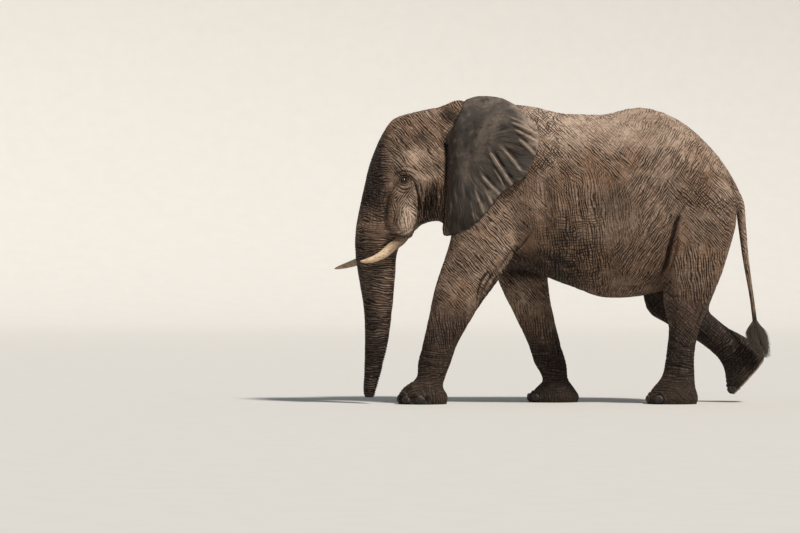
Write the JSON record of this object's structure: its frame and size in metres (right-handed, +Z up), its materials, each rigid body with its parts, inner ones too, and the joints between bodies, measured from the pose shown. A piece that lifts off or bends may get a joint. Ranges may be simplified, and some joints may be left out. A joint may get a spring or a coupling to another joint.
{
  "type": "african elephant",
  "caption": "Life-size still model of an adult male African elephant walking with its ears laid back and one hind foot lifted, resting on its planted soles",
  "frame": {"origin": "on the floor under the middle of the whole elephant's box", "axes": "+X towards the tail, so it walks towards -X; -Y is its left side; +Z up"},
  "size_m": [4.5616, 1.43, 3.2113],
  "materials": {
    "skin": "dry wrinkled hide with dust in the creases",
    "ear_skin": "thinner smooth hide with fine veins",
    "ivory": "worn cream ivory, lightly stained",
    "nail": "dull ridged horn",
    "eye": "wet brown eye",
    "hair": "coarse dark hair"
  },
  "bodies": {
    "root": {"trunk_lower": "skin", "trunk_middle": "skin", "trunk_upper": "skin", "lower_jaw": "skin", "foreleg_left_upper": "skin", "foreleg_left_lower": "skin", "foreleg_left_foot": "skin", "foreleg_right_upper": "skin", "foreleg_right_lower": "skin", "foreleg_right_foot": "skin", "hind_leg_left_upper": "skin", "hind_leg_left_lower": "skin", "hind_leg_left_foot": "skin", "hind_leg_right_foot": "skin", "hind_leg_right_lower": "skin", "hind_leg_right_upper": "skin", "head": "skin", "neck": "skin", "torso": "skin", "tail_upper": "skin", "tail_lower": "skin", "tail_tuft": "hair", "ear_left": "ear_skin", "ear_right": "ear_skin", "eye_left": "eye", "eye_right": "eye", "tusk_left": "ivory", "tusk_right": "ivory", "fore_nail_left_1": "nail", "fore_nail_left_2": "nail", "fore_nail_left_3": "nail", "fore_nail_left_4": "nail", "fore_nail_right_1": "nail", "fore_nail_right_2": "nail", "fore_nail_right_3": "nail", "fore_nail_right_4": "nail", "hind_nail_left_1": "nail", "hind_nail_left_2": "nail", "hind_nail_left_3": "nail", "hind_nail_right_1": "nail", "hind_nail_right_2": "nail", "hind_nail_right_3": "nail"}
  },
  "joints": []
}
